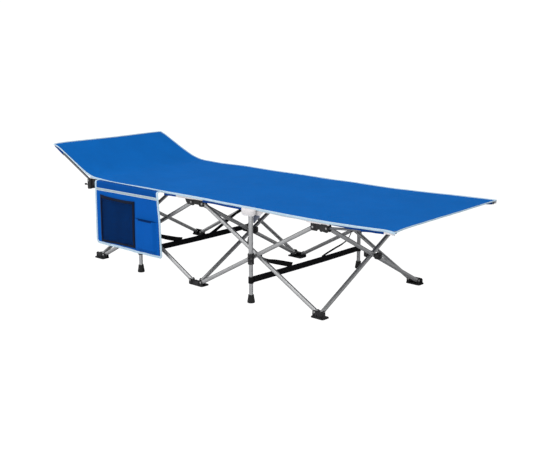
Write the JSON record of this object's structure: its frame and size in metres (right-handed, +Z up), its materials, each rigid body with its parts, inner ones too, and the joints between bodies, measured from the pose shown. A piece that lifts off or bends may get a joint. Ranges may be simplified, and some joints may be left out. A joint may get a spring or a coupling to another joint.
{
  "type": "folding camp bed",
  "caption": "Folding camp bed: steel scissor frame on moulded feet, upright poles, taut cloth deck with a raised head end, tie straps and a hanging side organiser.",
  "frame": {"origin": "centre of the bed's outline, on the floor it stands on", "axes": "+X towards the foot end along the bed's length, +Z up; the long side with the organiser faces -Y and the raised head end is at -X"},
  "size_m": [1.9, 0.7114, 0.49],
  "materials": {
    "tube_steel": "satin, silver grey tube",
    "black_moulding": "fine moulded texture, semi-matt",
    "black_rubber": "matt",
    "blue_canvas": "plain-woven coated cloth",
    "black_webbing": "flat woven webbing",
    "organiser_cloth": "plain-woven cloth with a navy net pouch"
  },
  "bodies": {
    "middle_foot_near": {"foot_middle_near": "black_moulding"},
    "cross_tube_middle_low_near": {"cross_tube_middle_low_near": "tube_steel"},
    "middle_hub_far": {"top_hub_middle_far": "black_moulding"},
    "side_tube_far_hub_to_foot_end": {"side_tube_far_middle_hub_to_foot_end_foot": "tube_steel"},
    "foot_end_foot_far": {"foot_foot_end_far": "black_moulding"},
    "side_tube_far_hub_to_head_end": {"side_tube_far_middle_hub_to_head_end_foot": "tube_steel"},
    "head_end_foot_far": {"foot_head_end_far": "black_moulding"},
    "cross_hub_middle": {"cross_hub_middle": "black_moulding"},
    "cross_tube_middle_low_far": {"cross_tube_middle_low_far": "tube_steel"},
    "middle_foot_far": {"foot_middle_far": "black_moulding"},
    "side_tube_far_foot_to_foot_end": {"side_tube_far_middle_foot_to_foot_end_hub": "tube_steel"},
    "foot_end_hub_far": {"top_hub_foot_end_far": "black_moulding"},
    "cross_tube_foot_end_low_near": {"cross_tube_foot_end_low_near": "tube_steel"},
    "foot_rod_far": {"foot_rod_far": "tube_steel"},
    "pole_foot_bay_far": {"pole_foot_bay_far": "tube_steel", "crossing_collar_foot_bay_far": "black_moulding", "pole_foot_foot_bay_far": "black_rubber"},
    "side_tube_far_foot_to_head_end": {"side_tube_far_middle_foot_to_head_end_hub": "tube_steel"},
    "head_end_hub_far": {"top_hub_head_end_far": "black_moulding", "release_knob_far": "black_moulding"},
    "cross_tube_head_end_low_near": {"cross_tube_head_end_low_near": "tube_steel"},
    "head_rod_far": {"head_rod_far": "tube_steel"},
    "pole_head_bay_far": {"pole_head_bay_far": "tube_steel", "crossing_collar_head_bay_far": "black_moulding", "pole_foot_head_bay_far": "black_rubber"},
    "middle_hub_near": {"top_hub_middle_near": "black_moulding", "cloth_saddle_middle": "blue_canvas"},
    "side_tube_near_hub_to_foot_end": {"side_tube_near_middle_hub_to_foot_end_foot": "tube_steel"},
    "foot_end_foot_near": {"foot_foot_end_near": "black_moulding"},
    "side_tube_near_hub_to_head_end": {"side_tube_near_middle_hub_to_head_end_foot": "tube_steel"},
    "head_end_foot_near": {"foot_head_end_near": "black_moulding"},
    "panel_head_bay_inner": {"cloth_panel_head_bay_inner": "blue_canvas"},
    "panel_foot_bay_inner": {"cloth_panel_foot_bay_inner": "blue_canvas"},
    "side_tube_near_foot_to_foot_end": {"side_tube_near_middle_foot_to_foot_end_hub": "tube_steel"},
    "foot_end_hub_near": {"top_hub_foot_end_near": "black_moulding", "cloth_saddle_foot_end": "blue_canvas"},
    "cross_tube_foot_end_low_far": {"cross_tube_foot_end_low_far": "tube_steel"},
    "cross_hub_foot_end": {"cross_hub_foot_end": "black_moulding"},
    "panel_foot_bay_outer": {"cloth_panel_foot_bay_outer": "blue_canvas"},
    "foot_rod_near": {"foot_rod_near": "tube_steel", "cloth_flap_foot": "blue_canvas"},
    "pole_foot_bay_near": {"pole_foot_bay_near": "tube_steel", "crossing_collar_foot_bay_near": "black_moulding", "pole_foot_foot_bay_near": "black_rubber", "tie_strap_foot_bay": "black_webbing"},
    "side_tube_near_foot_to_head_end": {"side_tube_near_middle_foot_to_head_end_hub": "tube_steel"},
    "head_end_hub_near": {"top_hub_head_end_near": "black_moulding", "release_knob_near": "black_moulding", "cloth_saddle_head_end": "blue_canvas", "side_organiser": "organiser_cloth"},
    "cross_tube_head_end_low_far": {"cross_tube_head_end_low_far": "tube_steel"},
    "cross_hub_head_end": {"cross_hub_head_end": "black_moulding"},
    "panel_head_bay_outer": {"cloth_panel_head_bay_outer": "blue_canvas"},
    "head_rod_near": {"head_rod_near": "tube_steel", "cloth_flap_head": "blue_canvas"},
    "pole_head_bay_near": {"pole_head_bay_near": "tube_steel", "crossing_collar_head_bay_near": "black_moulding", "pole_foot_head_bay_near": "black_rubber", "tie_strap_head_bay": "black_webbing"}
  },
  "joints": [
    {"name": "fold", "type": "hinge", "parent": "middle_foot_near", "child": "cross_tube_middle_low_near", "pos_m": [-0.0136, -0.28025, 0.018], "axis": [1, 0, 0], "range_deg": [0, 50], "deforming": ["cloth_saddle_middle", "cloth_panel_head_bay_inner", "cloth_panel_foot_bay_inner", "cloth_saddle_foot_end", "cloth_panel_foot_bay_outer", "cloth_flap_foot", "tie_strap_foot_bay", "cloth_saddle_head_end", "side_organiser", "cloth_panel_head_bay_outer", "cloth_flap_head", "tie_strap_head_bay"]},
    {"name": "middle_hub_far_hinge", "type": "hinge", "parent": "cross_tube_middle_low_near", "child": "middle_hub_far", "pos_m": [-0.0136, 0.29875, 0.336], "axis": [-1, 0, 0], "range_deg": [0, 50]},
    {"name": "side_tube_far_hub_to_foot_end_hinge", "type": "hinge", "parent": "middle_hub_far", "child": "side_tube_far_hub_to_foot_end", "pos_m": [0.009, 0.30285, 0.336], "axis": [0, 1, 0], "range_deg": [0, 50]},
    {"name": "foot_end_foot_far_hinge", "type": "hinge", "parent": "side_tube_far_hub_to_foot_end", "child": "foot_end_foot_far", "pos_m": [0.588, 0.30285, 0.018], "axis": [0, -1, 0], "range_deg": [0, 50]},
    {"name": "side_tube_far_hub_to_head_end_hinge", "type": "hinge", "parent": "middle_hub_far", "child": "side_tube_far_hub_to_head_end", "pos_m": [-0.053, 0.30285, 0.336], "axis": [0, -1, 0], "range_deg": [0, 50]},
    {"name": "head_end_foot_far_hinge", "type": "hinge", "parent": "side_tube_far_hub_to_head_end", "child": "head_end_foot_far", "pos_m": [-0.632, 0.30285, 0.018], "axis": [0, 1, 0], "range_deg": [0, 50]},
    {"name": "cross_hub_middle_hinge", "type": "hinge", "parent": "cross_tube_middle_low_near", "child": "cross_hub_middle", "pos_m": [-0.022, 0.00925, 0.177], "axis": [-1, 0, 0], "range_deg": [0, 50]},
    {"name": "cross_tube_middle_low_far_hinge", "type": "hinge", "parent": "cross_tube_middle_low_near", "child": "cross_tube_middle_low_far", "pos_m": [-0.022, 0.00925, 0.177], "axis": [-1, 0, 0], "range_deg": [0, 100]},
    {"name": "middle_foot_far_hinge", "type": "hinge", "parent": "cross_tube_middle_low_far", "child": "middle_foot_far", "pos_m": [-0.0304, 0.29875, 0.018], "axis": [1, 0, 0], "range_deg": [0, 50]},
    {"name": "side_tube_far_foot_to_foot_end_hinge", "type": "hinge", "parent": "middle_foot_far", "child": "side_tube_far_foot_to_foot_end", "pos_m": [0.009, 0.31965, 0.018], "axis": [0, -1, 0], "range_deg": [0, 50]},
    {"name": "foot_end_hub_far_hinge", "type": "hinge", "parent": "side_tube_far_foot_to_foot_end", "child": "foot_end_hub_far", "pos_m": [0.588, 0.31965, 0.336], "axis": [0, 1, 0], "range_deg": [0, 50]},
    {"name": "cross_tube_foot_end_low_near_hinge", "type": "hinge", "parent": "foot_end_hub_far", "child": "cross_tube_foot_end_low_near", "pos_m": [0.6096, 0.29875, 0.336], "axis": [1, 0, 0], "range_deg": [0, 50]},
    {"name": "foot_rod_far_hinge", "type": "hinge", "parent": "foot_end_hub_far", "child": "foot_rod_far", "pos_m": [0.654, 0.32375, 0.3405], "axis": [0, 1, 0], "range_deg": [0, 94]},
    {"name": "pole_foot_bay_far_hinge", "type": "hinge", "parent": "side_tube_far_foot_to_foot_end", "child": "pole_foot_bay_far", "pos_m": [0.2985, 0.34125, 0.177], "axis": [0, 1, 0], "range_deg": [0, 50]},
    {"name": "side_tube_far_foot_to_head_end_hinge", "type": "hinge", "parent": "middle_foot_far", "child": "side_tube_far_foot_to_head_end", "pos_m": [-0.053, 0.31965, 0.018], "axis": [0, 1, 0], "range_deg": [0, 50]},
    {"name": "head_end_hub_far_hinge", "type": "hinge", "parent": "side_tube_far_foot_to_head_end", "child": "head_end_hub_far", "pos_m": [-0.632, 0.31965, 0.336], "axis": [0, -1, 0], "range_deg": [0, 50]},
    {"name": "cross_tube_head_end_low_near_hinge", "type": "hinge", "parent": "head_end_hub_far", "child": "cross_tube_head_end_low_near", "pos_m": [-0.6536, 0.29875, 0.336], "axis": [1, 0, 0], "range_deg": [0, 50]},
    {"name": "head_rod_far_hinge", "type": "hinge", "parent": "head_end_hub_far", "child": "head_rod_far", "pos_m": [-0.6915, 0.32375, 0.348], "axis": [0, -1, 0], "range_deg": [0, 116]},
    {"name": "pole_head_bay_far_hinge", "type": "hinge", "parent": "side_tube_far_foot_to_head_end", "child": "pole_head_bay_far", "pos_m": [-0.3425, 0.34125, 0.177], "axis": [0, -1, 0], "range_deg": [0, 50]},
    {"name": "middle_hub_near_hinge", "type": "hinge", "parent": "cross_tube_middle_low_far", "child": "middle_hub_near", "pos_m": [-0.0304, -0.28025, 0.336], "axis": [1, 0, 0], "range_deg": [0, 50]},
    {"name": "side_tube_near_hub_to_foot_end_hinge", "type": "hinge", "parent": "middle_hub_near", "child": "side_tube_near_hub_to_foot_end", "pos_m": [0.009, -0.28435, 0.336], "axis": [0, 1, 0], "range_deg": [0, 50]},
    {"name": "foot_end_foot_near_hinge", "type": "hinge", "parent": "side_tube_near_hub_to_foot_end", "child": "foot_end_foot_near", "pos_m": [0.588, -0.28435, 0.018], "axis": [0, -1, 0], "range_deg": [0, 50]},
    {"name": "side_tube_near_hub_to_head_end_hinge", "type": "hinge", "parent": "middle_hub_near", "child": "side_tube_near_hub_to_head_end", "pos_m": [-0.053, -0.28435, 0.336], "axis": [0, -1, 0], "range_deg": [0, 50]},
    {"name": "head_end_foot_near_hinge", "type": "hinge", "parent": "side_tube_near_hub_to_head_end", "child": "head_end_foot_near", "pos_m": [-0.632, -0.28435, 0.018], "axis": [0, 1, 0], "range_deg": [0, 50]},
    {"name": "panel_head_bay_inner_hinge", "type": "hinge", "parent": "middle_hub_near", "child": "panel_head_bay_inner", "pos_m": [-0.062, -0.31575, 0.365], "axis": [0, -1, 0], "range_deg": [0, 78.8]},
    {"name": "panel_foot_bay_inner_hinge", "type": "hinge", "parent": "middle_hub_near", "child": "panel_foot_bay_inner", "pos_m": [0.018, -0.31575, 0.365], "axis": [0, 1, 0], "range_deg": [0, 78.8]},
    {"name": "side_tube_near_foot_to_foot_end_hinge", "type": "hinge", "parent": "middle_foot_near", "child": "side_tube_near_foot_to_foot_end", "pos_m": [0.009, -0.30115, 0.018], "axis": [0, -1, 0], "range_deg": [0, 50]},
    {"name": "foot_end_hub_near_hinge", "type": "hinge", "parent": "side_tube_near_foot_to_foot_end", "child": "foot_end_hub_near", "pos_m": [0.588, -0.30115, 0.336], "axis": [0, 1, 0], "range_deg": [0, 50]},
    {"name": "cross_tube_foot_end_low_far_hinge", "type": "hinge", "parent": "foot_end_hub_near", "child": "cross_tube_foot_end_low_far", "pos_m": [0.6264, -0.28025, 0.336], "axis": [-1, 0, 0], "range_deg": [0, 50]},
    {"name": "cross_hub_foot_end_hinge", "type": "hinge", "parent": "cross_tube_foot_end_low_far", "child": "cross_hub_foot_end", "pos_m": [0.618, 0.00925, 0.177], "axis": [1, 0, 0], "range_deg": [0, 50]},
    {"name": "panel_foot_bay_outer_hinge", "type": "hinge", "parent": "foot_end_hub_near", "child": "panel_foot_bay_outer", "pos_m": [0.577, -0.31575, 0.365], "axis": [0, -1, 0], "range_deg": [0, 78.8]},
    {"name": "foot_rod_near_hinge", "type": "hinge", "parent": "foot_end_hub_near", "child": "foot_rod_near", "pos_m": [0.654, -0.30525, 0.3405], "axis": [0, 1, 0], "range_deg": [0, 94]},
    {"name": "pole_foot_bay_near_hinge", "type": "hinge", "parent": "side_tube_near_foot_to_foot_end", "child": "pole_foot_bay_near", "pos_m": [0.2985, -0.32275, 0.177], "axis": [0, 1, 0], "range_deg": [0, 50]},
    {"name": "side_tube_near_foot_to_head_end_hinge", "type": "hinge", "parent": "middle_foot_near", "child": "side_tube_near_foot_to_head_end", "pos_m": [-0.053, -0.30115, 0.018], "axis": [0, 1, 0], "range_deg": [0, 50]},
    {"name": "head_end_hub_near_hinge", "type": "hinge", "parent": "side_tube_near_foot_to_head_end", "child": "head_end_hub_near", "pos_m": [-0.632, -0.30115, 0.336], "axis": [0, -1, 0], "range_deg": [0, 50]},
    {"name": "cross_tube_head_end_low_far_hinge", "type": "hinge", "parent": "head_end_hub_near", "child": "cross_tube_head_end_low_far", "pos_m": [-0.6704, -0.28025, 0.336], "axis": [-1, 0, 0], "range_deg": [0, 50]},
    {"name": "cross_hub_head_end_hinge", "type": "hinge", "parent": "cross_tube_head_end_low_far", "child": "cross_hub_head_end", "pos_m": [-0.662, 0.00925, 0.177], "axis": [1, 0, 0], "range_deg": [0, 50]},
    {"name": "panel_head_bay_outer_hinge", "type": "hinge", "parent": "head_end_hub_near", "child": "panel_head_bay_outer", "pos_m": [-0.621, -0.31575, 0.365], "axis": [0, 1, 0], "range_deg": [0, 78.8]},
    {"name": "head_rod_near_hinge", "type": "hinge", "parent": "head_end_hub_near", "child": "head_rod_near", "pos_m": [-0.6915, -0.30525, 0.348], "axis": [0, -1, 0], "range_deg": [0, 116]},
    {"name": "pole_head_bay_near_hinge", "type": "hinge", "parent": "side_tube_near_foot_to_head_end", "child": "pole_head_bay_near", "pos_m": [-0.3425, -0.32275, 0.177], "axis": [0, -1, 0], "range_deg": [0, 50]}
  ],
  "couplings": [
    {"joint": "middle_hub_far_hinge", "follows": "fold", "ratio": 1},
    {"joint": "side_tube_far_hub_to_foot_end_hinge", "follows": "fold", "ratio": 1},
    {"joint": "foot_end_foot_far_hinge", "follows": "fold", "ratio": 1},
    {"joint": "side_tube_far_hub_to_head_end_hinge", "follows": "fold", "ratio": 1},
    {"joint": "head_end_foot_far_hinge", "follows": "fold", "ratio": 1},
    {"joint": "cross_hub_middle_hinge", "follows": "fold", "ratio": 1},
    {"joint": "cross_tube_middle_low_far_hinge", "follows": "fold", "ratio": 2},
    {"joint": "middle_foot_far_hinge", "follows": "fold", "ratio": 1},
    {"joint": "side_tube_far_foot_to_foot_end_hinge", "follows": "fold", "ratio": 1},
    {"joint": "foot_end_hub_far_hinge", "follows": "fold", "ratio": 1},
    {"joint": "cross_tube_foot_end_low_near_hinge", "follows": "fold", "ratio": 1},
    {"joint": "foot_rod_far_hinge", "follows": "fold", "ratio": 1.88},
    {"joint": "pole_foot_bay_far_hinge", "follows": "fold", "ratio": 1},
    {"joint": "side_tube_far_foot_to_head_end_hinge", "follows": "fold", "ratio": 1},
    {"joint": "head_end_hub_far_hinge", "follows": "fold", "ratio": 1},
    {"joint": "cross_tube_head_end_low_near_hinge", "follows": "fold", "ratio": 1},
    {"joint": "head_rod_far_hinge", "follows": "fold", "ratio": 2.32},
    {"joint": "pole_head_bay_far_hinge", "follows": "fold", "ratio": 1},
    {"joint": "middle_hub_near_hinge", "follows": "fold", "ratio": 1},
    {"joint": "side_tube_near_hub_to_foot_end_hinge", "follows": "fold", "ratio": 1},
    {"joint": "foot_end_foot_near_hinge", "follows": "fold", "ratio": 1},
    {"joint": "side_tube_near_hub_to_head_end_hinge", "follows": "fold", "ratio": 1},
    {"joint": "head_end_foot_near_hinge", "follows": "fold", "ratio": 1},
    {"joint": "panel_head_bay_inner_hinge", "follows": "fold", "ratio": 1.576},
    {"joint": "panel_foot_bay_inner_hinge", "follows": "fold", "ratio": 1.576},
    {"joint": "side_tube_near_foot_to_foot_end_hinge", "follows": "fold", "ratio": 1},
    {"joint": "foot_end_hub_near_hinge", "follows": "fold", "ratio": 1},
    {"joint": "cross_tube_foot_end_low_far_hinge", "follows": "fold", "ratio": 1},
    {"joint": "cross_hub_foot_end_hinge", "follows": "fold", "ratio": 1},
    {"joint": "panel_foot_bay_outer_hinge", "follows": "fold", "ratio": 1.576},
    {"joint": "foot_rod_near_hinge", "follows": "fold", "ratio": 1.88},
    {"joint": "pole_foot_bay_near_hinge", "follows": "fold", "ratio": 1},
    {"joint": "side_tube_near_foot_to_head_end_hinge", "follows": "fold", "ratio": 1},
    {"joint": "head_end_hub_near_hinge", "follows": "fold", "ratio": 1},
    {"joint": "cross_tube_head_end_low_far_hinge", "follows": "fold", "ratio": 1},
    {"joint": "cross_hub_head_end_hinge", "follows": "fold", "ratio": 1},
    {"joint": "panel_head_bay_outer_hinge", "follows": "fold", "ratio": 1.576},
    {"joint": "head_rod_near_hinge", "follows": "fold", "ratio": 2.32},
    {"joint": "pole_head_bay_near_hinge", "follows": "fold", "ratio": 1}
  ]
}
